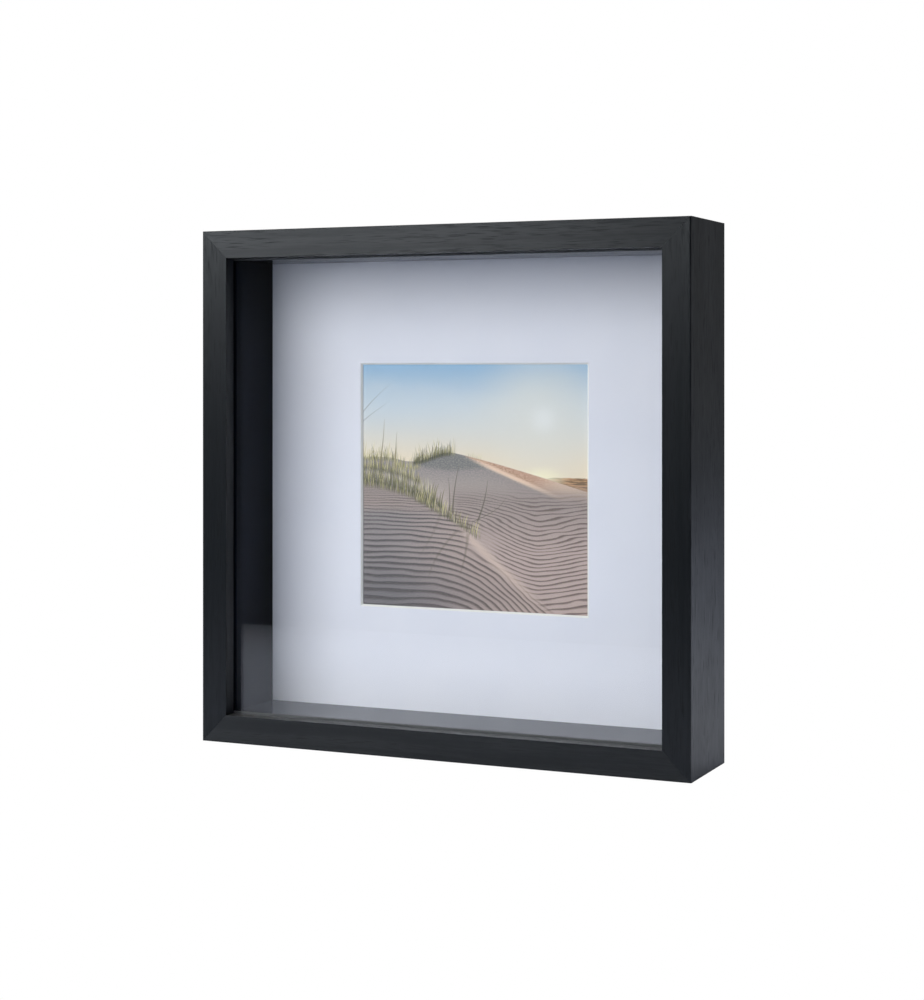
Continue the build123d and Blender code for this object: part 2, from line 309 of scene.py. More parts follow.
def dust_and_lit_top_group() -> Tree:
    """Fine settled dust, 0 to 1, and a few specks, mostly on faces that look up. Where it is laid thickly it
    is also painted light: a paler top face, as where light falls from above.
    """
    builder = GroupBuilder("settled_dust_and_lit_top", {"Vector": None, "Amount": 1.0}, ("Dust And Lit Top",))
    graph, given = builder.graph, builder.given
    # Faces that look up take the most: dust, and on the bottom rail's lip also painted light.
    upward = graph.facing()[2].ramp(0.2, 1.0)
    haze = graph.noise(given["Vector"], 420.0, 3.0, 0.7).ramp(0.30, 0.9)
    specks = graph.noise(given["Vector"], 1500.0, 1.0, 0.4).ramp(0.72, 0.78)
    upward_share = upward * 0.85 + 0.015
    builder.give("Dust And Lit Top", ((haze * 0.5 + specks) * upward_share * given["Amount"]).at_most(1.0))
    return builder.tree


def grass_row_group() -> Tree:
    """One row of grass blades that stand on a line in a flat picture.

    Across and Down are places in the picture, 0 to 1, Ground is the line's place down the picture at
    that point, Tall is the tallest blade, Count is blades per picture width, Lean is how far a blade
    of full height leans across, Thick is a blade's width as a share of its spacing. The outputs are
    Blade, 0 or 1 with soft edges, Tint, a random value for each blade, and Up, 0 at its foot and 1 at its
    tip.
    """
    sizes = {"Across": 0.0, "Down": 0.0, "Ground": 0.5, "Tall": 0.1, "Count": 100.0, "Lean": 0.02,
             "Thick": 0.3, "Seed": 0.0}
    builder = GroupBuilder("grass_row", sizes, ("Blade", "Tint", "Up"))
    graph = builder.graph
    across, down, ground, tall, count, lean, thick, seed = builder.given.values()
    rise = ground - down
    height_share = (rise / tall).at_least(0.0)
    sway = graph.noise(graph.point(across * 9.0, seed, 0.0), 1.0, 1.0) - 0.5
    bend = height_share * height_share * (lean + sway * 0.05)
    spread = (across - bend) * count + seed * 17.3
    cell = spread.whole()
    first, second, third = graph.chances(cell + seed)
    own_height = first * 0.7 + 0.3
    up = (height_share / own_height).at_most(1.2)
    off_centre = abs(spread - cell - 0.5 - (second - 0.5) * 0.5 * (1.0 - up * 0.6))
    half_width = thick * 0.5 * (1.0 - up).at_least(0.0) ** 0.7
    softness = 0.10
    inside = ((half_width - off_centre) / softness + 0.5).at_least(0.0).at_most(1.0)
    standing = (rise * 60.0 + 0.6).at_least(0.0).at_most(1.0)
    builder.give("Blade", inside * standing * up.ramp(1.02, 0.96))
    builder.give("Tint", third)
    builder.give("Up", up)
    return builder.tree


def long_blade_group() -> Tree:
    """One long Blade, 0 to 1, in a flat picture, from Foot to Tip across and down, with a Bow."""
    sizes = {"Across": 0.0, "Down": 0.0, "Foot Across": 0.0, "Foot Down": 0.5, "Tip Across": 0.1,
             "Tip Down": 0.2, "Bow": 0.02, "Thick": 0.003}
    builder = GroupBuilder("long_blade", sizes, ("Blade",))
    across, down, foot_across, foot_down, tip_across, tip_down, bow, thick = builder.given.values()
    share = (foot_down - down) / (foot_down - tip_down)
    within = share.ramp(-0.02, 0.02) * share.ramp(1.02, 0.96)
    lean = tip_across - foot_across
    line = foot_across + lean * share + bow * share * (1.0 - share) * 4.0
    width = thick * (1.15 - share)
    near = ((width - abs(across - line)) / width + 0.35).at_least(0.0).at_most(1.0)
    builder.give("Blade", near * within)
    return builder.tree


@dataclass(frozen=True)
class SharedGroups:
    """The node groups that several finishes use, each made once."""

    grain: Tree = field(default_factory=ash_grain_group)
    edge: Tree = field(default_factory=box_edge_group)
    tooth: Tree = field(default_factory=paper_tooth_group)
    dust_and_lit_top: Tree = field(default_factory=dust_and_lit_top_group)
    grass: Tree = field(default_factory=grass_row_group)
    stalk: Tree = field(default_factory=long_blade_group)


# Finishes


def new_material(name: str, shown: Colour) -> tuple[Material, Graph, Node]:
    """Makes a material that shows a plain colour where nodes aren't drawn.

    Returns:
        The material, its graph and its Principled node.
    """
    material = bpy.data.materials.new(name)
    material.use_nodes = True
    material.diffuse_color = (*shown, 1.0)
    shader = next(node for node in material.node_tree.nodes if node.type == "BSDF_PRINCIPLED")
    shader.inputs["Base Color"].default_value = (*shown, 1.0)
    return material, Graph(material.node_tree), shader


@dataclass(frozen=True, kw_only=True)
class Finish(ABC):
    """One finish, painted on a new material.

    Attributes:
        groups: The shared node groups.
        colour: Its main colour, which also shows where nodes aren't drawn.
    """

    groups: SharedGroups
    colour: Colour

    def build(self, name: str) -> Material:
        """Makes a material of this name and paints it."""
        material, graph, shader = new_material(name, self.colour)
        self.paint(graph, shader)
        return material

    @abstractmethod
    def paint(self, graph: Graph, shader: Node) -> None:
        """Feeds the Principled shader."""

    @staticmethod
    def coat(graph: Graph, shader: Node, colour: object, roughness: object, normal: object,
             plain: dict[str, object]) -> None:
        """Feeds what changes over the surface, and then the sockets that are the same all over."""
        graph.feed_all(shader, {"Base Color": colour, "Roughness": roughness, "Normal": normal, **plain})

    def tooth(self, graph: Graph, vector: object, fineness: float = 1.0) -> tuple[Field, Field]:
        """The cloudiness and the tooth of paper or board."""
        made = graph.group(self.groups.tooth, {"Vector": vector, "Fineness": fineness})
        return made["Cloud"], made["Tooth"]

    def with_dust_and_lit_top(self, graph: Graph, vector: object, amount: float, colour: object) -> Socket:
        """A colour with pale dust on the faces that look up; laid thickly, it is also painted light on a lit
        top face.
        """
        made = graph.group(self.groups.dust_and_lit_top, {"Vector": vector, "Amount": amount})
        return graph.mix(made["Dust And Lit Top"], colour, DUST_AND_LIT_TOP)


class GrainAxis(Enum):
    """The way a rail's grain runs: its axis, how much pale streaks show and how far a shine is drawn out."""

    ACROSS = ("X", 0.28, 0.50)
    UPRIGHT = ("Z", 0.14, 0.70)

    def __init__(self, letter: str, streaks: float, stretch: float) -> None:
        """Keeps the three values."""
        self.letter, self.streaks, self.stretch = letter, streaks, stretch


@dataclass(frozen=True, kw_only=True)
class StainedAsh(Finish):
    """Black stained ash under a satin lacquer, with open pores and a trace of wear on its edges.

    Attributes:
        axis: The way the grain runs.
        offset: Moves the grain, so that no two rails are cut from the same board.
        half: Half of the frame's width, depth and height.
        middle: Height of the frame's middle.
        dust_and_lit_top: How much pale dust lies on the faces that look up; on the bottom rail it is also
            painted light on the lip's top face.
        figure, streak, pore, bare: Colours of the broad figure, the pale streaks, the pores and worn edges.
        wear_width: How far the wear reaches from an edge, in metres.
    """

    axis: GrainAxis
    offset: float
    half: Vector
    middle: float
    dust_and_lit_top: float
    colour: Colour = (0.0022, 0.0034, 0.0047)
    figure: Colour = (0.0042, 0.0058, 0.0074)
    streak: Colour = (0.0150, 0.0165, 0.0180)
    pore: Colour = (0.0018, 0.0025, 0.0032)
    bare: Colour = (0.0400, 0.0420, 0.0460)
    wear_width: float = 0.7 * MM

    def paint(self, graph: Graph, shader: Node) -> None:
        """Lays figure, streaks, pores, wear and dust over the stain; on the bottom rail the dust is also
        painted light on the lip's top face.
        """
        x, y, z = graph.split(graph.here())
        along, aside = (x, z) if self.axis is GrainAxis.ACROSS else (z, x)
        board = graph.point(along + self.offset, y + self.offset * 0.37, aside)
        grain = graph.group(self.groups.grain, {"Vector": board})
        pores, fibres = grain["Pores"], grain["Height"]
        centred = graph.point(x, y, z - self.middle)
        sides = {f"Half {axis}": size for axis, size in zip("XYZ", self.half)}
        edge = graph.group(self.groups.edge, {"Vector": centred, "Width": self.wear_width, **sides})
        streaks = fibres.ramp(0.58, 0.74) * self.axis.streaks
        colour = graph.layers(self.colour, (grain["Figure"], self.figure), (streaks, self.streak),
                              (pores, self.pore), (edge["Wear"] * 0.5, self.bare))
        colour = self.with_dust_and_lit_top(graph, centred, self.dust_and_lit_top, colour)
        handling = graph.noise(centred, 26.0, 3.0)
        roughness = handling * 0.08 + pores * 0.20 - fibres * 0.08 + 0.37
        around = graph.add("Tangent", direction_type="RADIAL", axis=self.axis.letter).outputs[0]
        self.coat(graph, shader, colour, roughness, graph.bump(fibres, 0.38, 0.10 * MM),
                  {"Tangent": around, "Anisotropic": self.axis.stretch, "Specular IOR Level": 0.25})


@dataclass(frozen=True, kw_only=True)
class BlackFoil(Finish):
    """Matt black paper foil on the spacer strips.

    Attributes:
        sheen, roughness: How strong and how blurred its shine is.
        cut_end: How much the pale cut edge shows at the front, 0 to 1.
        rubbed, cut: Colours of the rubbed patches and of the cut edge.
    """

    sheen: float
    roughness: float
    cut_end: float
    colour: Colour = (0.0018, 0.0028, 0.0052)
    rubbed: Colour = (0.0032, 0.0050, 0.0096)
    cut: Colour = (0.080, 0.083, 0.088)

    def paint(self, graph: Graph, shader: Node) -> None:
        """Lays rubbed patches, dust and the cut edge over the black."""
        vector = graph.here()
        cloud, tooth = self.tooth(graph, vector, 0.8)
        colour = self.with_dust_and_lit_top(graph, vector, 0.12, graph.mix(cloud, self.colour, self.rubbed))
        at_front = graph.facing()[1].ramp(-0.80, -0.95) * self.cut_end
        colour = graph.mix(at_front, colour, self.cut)
        self.coat(graph, shader, colour, cloud * 0.06 + self.roughness, graph.bump(tooth, 0.10, 0.03 * MM),
                  {"Specular IOR Level": self.sheen, "Specular Tint": (0.84, 0.895, 1.0)})


@dataclass(frozen=True, kw_only=True)
class ClearGlass(Finish):
    """Polished float glass. Light from lamps and from the mat passes it unbent."""

    colour: Colour = (0.985, 0.995, 0.992)
    index: float = 1.46

    def paint(self, graph: Graph, shader: Node) -> None:
        """Adds faint smears, and lets light through to what is behind."""
        smears = graph.noise(graph.here(), 14.0, 3.0, 0.6).ramp(0.5, 0.75)
        graph.feed_all(shader, {"Roughness": smears * 0.004, "Transmission Weight": 1.0, "IOR": self.index})
        clear = graph.add("BsdfTransparent", {"Color": self.colour})
        path = graph.add("LightPath").outputs
        passing = graph.math("MAXIMUM", path["Is Shadow Ray"], path["Is Diffuse Ray"])
        graph.finish(graph.material_end(), passing, shader, clear)


@dataclass(frozen=True, kw_only=True)
class MatBoard(Finish):
    """Cool white mat board with shaded clouds, a fine tooth and a bright core on its cut bevel."""

    colour: Colour = (0.800, 0.814, 0.905)
    shade: Colour = (0.775, 0.792, 0.888)
    core: Colour = (0.870, 0.872, 0.865)

    def paint(self, graph: Graph, shader: Node) -> None:
        """Lays clouds and tooth over the face, and the core on the bevel."""
        cloud, tooth = self.tooth(graph, graph.here())
        slanted = abs(graph.facing()[1]).ramp(0.97, 0.90)
        colour = graph.layers(self.colour, (cloud, self.shade), (tooth * 0.25, self.shade),
                              (slanted, self.core))
        self.coat(graph, shader, colour, tooth * 0.12 + 0.78, graph.bump(tooth, 0.22, 0.06 * MM),
                  {"Specular IOR Level": 0.25})


@dataclass(frozen=True, kw_only=True)
class PlainPaper(Finish):
    """Uncoated paper or board in one colour: tape, grey board and raw fibreboard.

    Attributes:
        fleck: Colour of its flecks and clouds.
        fineness: How fine its texture is.
        flecks, relief, cloud: How much its flecks, its relief and its clouds show.
    """

    fleck: Colour
    fineness: float = 1.0
    flecks: float = 0.5
    relief: float = 0.3
    cloud: float = 0.4

    def paint(self, graph: Graph, shader: Node) -> None:
        """Lays clouds and flecks over the paper."""
        vector = graph.here()
        cloud, tooth = self.tooth(graph, vector, self.fineness)
        fibres = graph.noise(vector, 420.0 * self.fineness, 3.0, 0.7).ramp(0.5, 0.72)
        share = (cloud * self.cloud + fibres * self.flecks).at_most(1.0)
        colour = graph.mix(share, self.colour, self.fleck)
        self.coat(graph, shader, colour, tooth * 0.1 + 0.78, graph.bump(tooth, self.relief, 0.1 * MM),
                  {"Specular IOR Level": 0.3})


@dataclass(frozen=True, kw_only=True)
class ZincPlate(Finish):
    """Bright zinc on steel fittings: fine brushing, cloudy passivation and dull spots."""

    colour: Colour = (0.60, 0.61, 0.62)
    cloudy: Colour = (0.47, 0.48, 0.50)
    dull: Colour = (0.30, 0.29, 0.27)

    def paint(self, graph: Graph, shader: Node) -> None:
        """Lays clouds, spots and brushing over the zinc."""
        vector = graph.here()
        clouds = graph.noise(vector, 220.0, 4.0, 0.65).ramp(0.35, 0.7)
        spots = graph.noise(vector, 900.0, 2.0, 0.5).ramp(0.66, 0.75)
        x, y, z = graph.split(vector)
        lines = graph.noise(graph.point(x * 900.0, y * 900.0, z * 9000.0), 1.0)
        colour = graph.layers(self.colour, (clouds, self.cloudy), (spots * 0.7, self.dull))
        roughness = clouds * 0.14 + spots * 0.2 + 0.24
        self.coat(graph, shader, colour, roughness, graph.bump(lines, 0.12, 0.04 * MM), {"Metallic": 1.0})


@dataclass(frozen=True, kw_only=True)
class SoftRubber(Finish):
    """Matt black rubber of the wall bumpers, with a grey bloom."""

    colour: Colour = (0.020, 0.020, 0.021)
    bloom: Colour = (0.075, 0.074, 0.072)

    def paint(self, graph: Graph, shader: Node) -> None:
        """Lays bloom and dust over the rubber."""
        vector = graph.here()
        _, tooth = self.tooth(graph, vector, 1.2)
        bloom = graph.noise(vector, 320.0, 3.0).ramp(0.45, 0.75) * 0.5
        colour = self.with_dust_and_lit_top(graph, vector, 0.8, graph.mix(bloom, self.colour, self.bloom))
        self.coat(graph, shader, colour, bloom * 0.3 + 0.6, graph.bump(tooth, 0.4, 0.1 * MM), {})


# The print


@dataclass(frozen=True)
class Picture:
    """The flat picture that the print's ink is laid on.

    Attributes:
        graph: Where its nodes are added.
        across: Place from the left edge, 0 to 1.
        down: Place from the top edge, 0 to 1.
    """

    graph: Graph
    across: Field
    down: Field

    def noise(self, wide: float, tall: float, layer: float, detail: float = 2.0, rough: float = 0.5) -> Field:
        """Noise with its own rate across and down. Each layer has a pattern of its own."""
        vector = self.graph.point(self.across * wide, self.down * tall, layer)
        return self.graph.noise(vector, 1.0, detail, rough)

    def distance(self, across: float, down: float, flat: float = 1.0) -> Field:
        """Distance from a point, with heights counted flat times."""
        aside, below = self.across - across, (self.down - down) * flat
        return (aside * aside + below * below).root()


class GroundLine(Enum):
    """The line in the print that a row of grass stands on."""

    CREST = "skyline of the main dune"
    NEAR = "upper edge of the near dune"


@dataclass(frozen=True)
class GrassRow:
    """Where one row of grass stands in the print, in shares of the picture's side.

    Attributes:
        line: The line it follows.
        left, right: Where the row starts and ends.
        lift: How far its foot is above the line.
        tall: The tallest blade.
        count: Blades per picture width.
        lean: How far a blade of full height leans.
        seed: A number of its own.
        light, dark: Colours of the palest and the darkest blade.
        thick: A blade's width as a share of its spacing.
    """

    line: GroundLine
    left: float
    right: float
    lift: float
    tall: float
    count: float
    lean: float
    seed: float
    light: Colour
    dark: Colour
    thick: float


@dataclass(frozen=True)
class Stalk:
    """One long stalk or its shadow: foot and tip, across and down, in shares of the picture's side."""

    foot: tuple[float, float]
    tip: tuple[float, float]
    bow: float
    thick: float
    colour: Colour
    strength: float = 0.8


@dataclass(frozen=True, kw_only=True)
class DunePrint(Finish):
    """A landscape of the builder's own on satin paper: rippled dunes and grass under a pale sky.

    Attributes:
        side: Side of the picture that the mat's window shows.
        middle: Height of its middle.
        gain: Factor on every ink.
        peak, sun: Places across the picture of the main dune's top and of the low sun.
        horizon: Place down the picture of the far ridge.
    """

    side: float
    middle: float
    colour: Colour = (0.66, 0.62, 0.58)
    gain: float = 1.12
    peak: float = 0.40
    sun: float = 0.81
    horizon: float = 0.464

    def ink(self, red: int, green: int, blue: int) -> Colour:
        """A colour of the print, given as it shows on a display."""
        return linear(red, green, blue, self.gain)

    def crest(self, across: Field) -> Field:
        """Place down the picture of the main dune's skyline."""
        left = (self.peak - across).at_least(0.0).ramp(0.0, 0.17) * 0.040
        dip = (0.21 - across).at_least(0.0).ramp(0.0, 0.1) * -0.016
        right = (across - self.peak).at_least(0.0) ** 1.15 * 0.268
        return left + dip + right + 0.360

    @staticmethod
    def near_edge(across: Field) -> Field:
        """Place down the picture of the near dune's upper edge, where the front grass stands."""
        return across.at_least(0.0) ** 1.75 * 0.60 + 0.515

    def sky(self, picture: Picture) -> Socket:
        """Blue above, cream at the horizon, with a white glow on the right."""
        ink, down = self.ink, picture.down
        veil = picture.noise(1.6, 3.4, 3.0, 3.0).ramp(0.4, 0.7)
        glow = picture.distance(self.sun, 0.22)
        return picture.graph.layers(
            ink(121, 165, 201),
            (down.ramp(-0.06, 0.20), ink(190, 202, 213)),
            (down.ramp(0.14, 0.46), ink(228, 212, 186)),
            (veil * down.ramp(0.0, 0.1) * 0.22, ink(222, 221, 214)),
            (glow.ramp(0.40, 0.05) * 0.60, ink(218, 217, 210)),
            (glow.ramp(0.085, 0.0) * 0.45, ink(232, 234, 236)),
        )

    def ridge(self, picture: Picture, behind: Socket) -> Socket:
        """The far ridge and the low sun over it."""
        ink, layers = self.ink, picture.graph.layers
        grit = picture.noise(60.0, 60.0, 0.0) - 0.5
        line = self.horizon - (picture.across - 0.80).at_least(0.0).ramp(0.0, 0.05) * 0.010 + grit * 0.006
        streaks = picture.noise(16.0, 150.0, 0.0, 3.0, 0.6).ramp(0.38, 0.62)
        land = layers(ink(112, 88, 62), (streaks, ink(188, 146, 108)))
        flare = picture.distance(self.sun - 0.005, 0.455, 2.2).ramp(0.13, 0.0)
        below = (picture.down - line).ramp(-0.002, 0.002)
        return layers(behind, (below, land), (flare * 0.80, ink(250, 236, 204)))

    def dune(self, picture: Picture, behind: Socket) -> Socket:
        """The main dune: shaded crest, sunlit rim, brown flank and grey slope."""
        ink, layers = self.ink, picture.graph.layers
        across, down = picture.across, picture.down
        grit = picture.noise(120.0, 260.0, 1.0, 3.0, 0.65)
        rim = (across - 0.46) * 0.392 + 0.372 + (grit - 0.5) * 0.008
        below_rim = (down - rim).ramp(0.11, 0.0) * across.ramp(0.50, 0.72)
        foot = 0.438 - abs(across - self.peak) * 0.10
        cap = (down - foot + (grit - 0.5) * 0.01).ramp(0.010, -0.016) * across.ramp(0.22, 0.28)
        slope = layers(
            ink(132, 127, 128),
            (down.ramp(0.40, 0.62), ink(182, 167, 160)),
            (below_rim * 0.55, ink(128, 118, 119)),
            (cap * 0.85, ink(100, 104, 106)),
            (grit.ramp(0.40, 0.64) * 0.22, ink(210, 192, 180)),
        )
        flank = layers(ink(158, 118, 96), (grit.ramp(0.40, 0.60), ink(206, 172, 150)),
                       (across.ramp(0.74, 0.92), ink(206, 180, 162)))
        above_rim = (rim - down).ramp(-0.004, 0.006) * across.ramp(0.43, 0.50)
        sunlit = abs(down - rim).ramp(0.015, 0.002) * across.ramp(0.44, 0.60)
        body = layers(slope, (above_rim, flank), (sunlit * 0.9, ink(228, 200, 178)))
        edge = (down - self.crest(across) + (grit - 0.5) * 0.004).ramp(-0.002, 0.002)
        return layers(behind, (edge, body))

    @staticmethod
    def stripes(turns: Field, share: Field, soft: float) -> Field:
        """Dark lee sides of ripples, one for each whole turn: a crisp start and a soft end."""
        part = turns.fraction()
        return part.ramp(0.0, 0.10) * (1.0 - ((part - share) / soft + 0.5).ramp(0.0, 1.0))

    def far_ripples(self, picture: Picture) -> Field:
        """Fine ripples of the middle slope, that sag a little and rise again at the right."""
        across, down = picture.across, picture.down
        sag = across.ramp(0.36, 0.80) * 0.120 - across.ramp(0.76, 1.05) * 0.036
        wander = picture.noise(3.2, 9.0, 7.0) - 0.5
        fork = picture.noise(8.0, 30.0, 2.0, 1.0) - 0.5
        flow = down - sag * down.ramp(0.44, 0.76) + wander * 0.024 + fork * 0.012
        turns = (flow - 0.34).at_least(0.01).log(math.e) * 22.0
        width = picture.noise(9.0, 22.0, 5.0, 1.0) * 0.5 + 0.12
        return self.stripes(turns, width, 0.30) * down.ramp(0.44, 0.60)

    def near_ripples(self, picture: Picture) -> Field:
        """Broad ripples of the near dune, that bend down along its side to the right."""
        across, down = picture.across, picture.down
        bend = across.ramp(0.26, 0.95) ** 1.5
        wander = picture.noise(2.4, 5.5, 11.0) - 0.5
        fork = picture.noise(7.0, 17.0, 4.0, 1.0) - 0.5
        flow = down - bend * (down.ramp(0.50, 0.95) * 0.26 + 0.05) + wander * 0.030 + fork * 0.016
        turns = (flow - 0.20).at_least(0.02).log(math.e) * 25.0
        width = picture.noise(5.0, 12.0, 8.0, 1.0) * 0.40 + 0.20
        width = width + across.ramp(0.6, 0.0) * down.ramp(0.65, 1.0) * 0.16
        return self.stripes(turns, width, 0.42) * down.ramp(0.50, 0.60)

    def sand(self, picture: Picture, behind: Socket) -> Socket:
        """Rippled sand in front of the main dune, lit along the spine between the two slopes."""
        ink, layers = self.ink, picture.graph.layers
        across, down = picture.across, picture.down
        below = down - ((across - 0.38).at_least(0.0) ** 0.9 * 0.80 + 0.59)
        rippled = 1.0 - picture.distance(0.545, 0.725, 1.25).ramp(0.11, 0.02) * 0.85
        far = layers(ink(138, 127, 125), (down.ramp(0.48, 0.80), ink(176, 157, 152)))
        far_dark = layers(ink(84, 74, 72), (across.ramp(0.5, 1.0), ink(80, 64, 64)))
        far = layers(far, (self.far_ripples(picture) * rippled * 0.86, far_dark))
        close = layers(
            ink(172, 153, 147),
            (across.ramp(0.60, 0.05), ink(130, 124, 127)),
            (down.ramp(0.72, 1.0) * across.ramp(0.90, 0.10) * 0.8, ink(88, 89, 98)),
            (down.ramp(0.62, 0.53) * 0.8, ink(184, 166, 156)),
        )
        close_dark = layers(ink(76, 64, 64), (across.ramp(0.7, 0.1), ink(54, 55, 62)))
        close = layers(close, (self.near_ripples(picture) * rippled * 0.92, close_dark))
        lit = abs(below - 0.012).ramp(0.040, 0.0) * across.ramp(0.42, 0.50) * across.ramp(0.86, 0.64)
        grain = picture.noise(190.0, 260.0, 4.0, 2.0, 0.6).ramp(0.35, 0.65)
        both = layers(far, (below.ramp(-0.02, 0.035), close), (lit * 0.55, ink(214, 192, 180)),
                      (grain * 0.14, ink(214, 198, 188)))
        left = across.ramp(0.44, 0.36)
        start = (down - self.near_edge(across)).ramp(-0.03, 0.0) * left + down.ramp(0.46, 0.56) * (1.0 - left)
        return layers(behind, (start, both))

    def rows(self) -> list[GrassRow]:
        """Each row of grass, from back to front."""
        ink, crest, near = self.ink, GroundLine.CREST, GroundLine.NEAR
        straw, olive, moss = ink(205, 194, 142), ink(128, 124, 80), ink(62, 64, 46)
        pale, sage, dusk = ink(214, 204, 168), ink(112, 112, 84), ink(84, 82, 62)
        deep = ink(44, 46, 38)
        rows = (
            (crest, -0.1, 0.16, -0.010, 0.086, 165.0, 0.010, 1.0, straw, olive, 0.75),
            (crest, -0.1, 0.15, -0.012, 0.070, 130.0, -0.014, 2.0, pale, moss, 0.55),
            (crest, 0.14, 0.26, -0.030, 0.066, 150.0, 0.012, 6.0, straw, olive, 0.75),
            (crest, 0.235, 0.41, -0.006, 0.070, 185.0, 0.008, 3.0, olive, moss, 0.95),
            (crest, 0.235, 0.42, -0.006, 0.084, 130.0, -0.012, 4.0, straw, olive, 0.6),
            (crest, 0.230, 0.40, -0.012, 0.064, 210.0, 0.006, 14.0, moss, deep, 0.8),
            (crest, 0.475, 0.54, 0.000, 0.036, 110.0, 0.010, 5.0, straw, olive, 0.35),
            (near, -0.1, 0.27, 0.085, 0.075, 150.0, 0.010, 12.0, straw, olive, 0.8),
            (near, -0.1, 0.33, 0.048, 0.095, 125.0, -0.012, 7.0, pale, sage, 0.6),
            (near, -0.1, 0.38, 0.022, 0.100, 140.0, 0.016, 8.0, olive, moss, 0.8),
            (near, -0.1, 0.34, 0.010, 0.090, 100.0, -0.012, 9.0, straw, dusk, 0.5),
            (near, -0.1, 0.26, 0.080, 0.062, 230.0, -0.008, 15.0, moss, deep, 0.55),
            (near, -0.1, 0.36, 0.026, 0.078, 220.0, 0.014, 16.0, moss, deep, 0.50),
            (near, -0.1, 0.33, 0.010, 0.055, 180.0, -0.010, 17.0, olive, moss, 0.60),
            (near, 0.24, 0.53, 0.004, 0.080, 115.0, 0.020, 10.0, straw, dusk, 0.6),
            (near, 0.24, 0.50, 0.002, 0.066, 190.0, 0.010, 18.0, moss, deep, 0.45),
            (near, 0.30, 0.52, -0.004, 0.050, 90.0, -0.014, 13.0, pale, moss, 0.45),
        )
        return [GrassRow(*row) for row in rows]

    def stalks(self) -> list[Stalk]:
        """The single long stalks, then the shadows of three of them."""
        ink = self.ink
        dark, warm, grey = ink(84, 80, 68), ink(132, 122, 94), ink(112, 120, 122)
        return [
            Stalk((-0.03, 0.235), (0.120, 0.085), -0.012, 0.0030, grey),
            Stalk((-0.03, 0.262), (0.115, 0.158), -0.010, 0.0030, grey),
            Stalk((0.075, 0.430), (0.098, 0.225), 0.004, 0.0036, warm),
            Stalk((0.150, 0.430), (0.157, 0.275), -0.003, 0.0032, warm),
            Stalk((0.396, 0.600), (0.390, 0.460), 0.003, 0.0030, dark),
            Stalk((0.410, 0.610), (0.440, 0.405), -0.006, 0.0038, dark),
            Stalk((0.520, 0.640), (0.566, 0.468), 0.008, 0.0038, dark),
            Stalk((0.500, 0.640), (0.640, 0.548), 0.024, 0.0030, dark),
            Stalk((0.478, 0.690), (0.442, 0.860), 0.006, 0.0075, dark, 0.40),
            Stalk((0.430, 0.680), (0.300, 0.880), -0.020, 0.0085, dark, 0.30),
            Stalk((0.360, 0.600), (0.250, 0.800), 0.012, 0.0085, dark, 0.22),
        ]

    def grass(self, picture: Picture, behind: Socket) -> Socket:
        """Plants the rows of grass and then the long stalks."""
        graph, across = picture.graph, picture.across
        lines = {GroundLine.CREST: self.crest(across), GroundLine.NEAR: self.near_edge(across)}
        place = {"Across": across, "Down": picture.down}
        colour = behind
        for row in self.rows():
            sizes = {"Ground": lines[row.line] - row.lift, "Tall": row.tall, "Count": row.count,
                     "Lean": row.lean, "Thick": row.thick, "Seed": row.seed}
            made = graph.group(self.groups.grass, {**place, **sizes})
            tint = graph.mix(made["Tint"], row.dark, row.light)
            tint = graph.mix(made["Up"].ramp(0.35, 0.0) * 0.6, tint, row.dark)
            starts = across.ramp(row.left - 0.01, row.left + 0.01)
            ends = across.ramp(row.right + 0.012, row.right - 0.012)
            colour = graph.mix(made["Blade"] * (starts * ends) * 0.88, colour, tint)
        for stalk in self.stalks():
            sizes = {"Foot Across": stalk.foot[0], "Foot Down": stalk.foot[1], "Tip Across": stalk.tip[0],
                     "Tip Down": stalk.tip[1], "Bow": stalk.bow, "Thick": stalk.thick}
            made = graph.group(self.groups.stalk, {**place, **sizes})
            colour = graph.mix(made["Blade"] * stalk.strength, colour, stalk.colour)
        return colour

    def paint(self, graph: Graph, shader: Node) -> None:
        """Prints the picture from back to front on the paper."""
        vector = graph.here()
        x, _, z = graph.split(vector)
        picture = Picture(graph, x / self.side + 0.5, 0.5 - (z - self.middle) / self.side)
        colour = self.sky(picture)
        for layer in (self.ridge, self.dune, self.sand, self.grass):
            colour = layer(picture, colour)
        cloud, tooth = self.tooth(graph, vector, 0.7)
        self.coat(graph, shader, colour, cloud * 0.06 + 0.42, graph.bump(tooth, 0.08, 0.03 * MM),
                  {"Specular IOR Level": 0.35})


# Sub-assemblies


def dress(node: str, material: Material) -> None:
    """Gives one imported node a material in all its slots."""
    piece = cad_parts[node]
    for slot in piece.material_slots:
        slot.material = material
    if not piece.material_slots:
        piece.data.materials.append(material)
    log.info("%s dressed in %s", node, material.name)


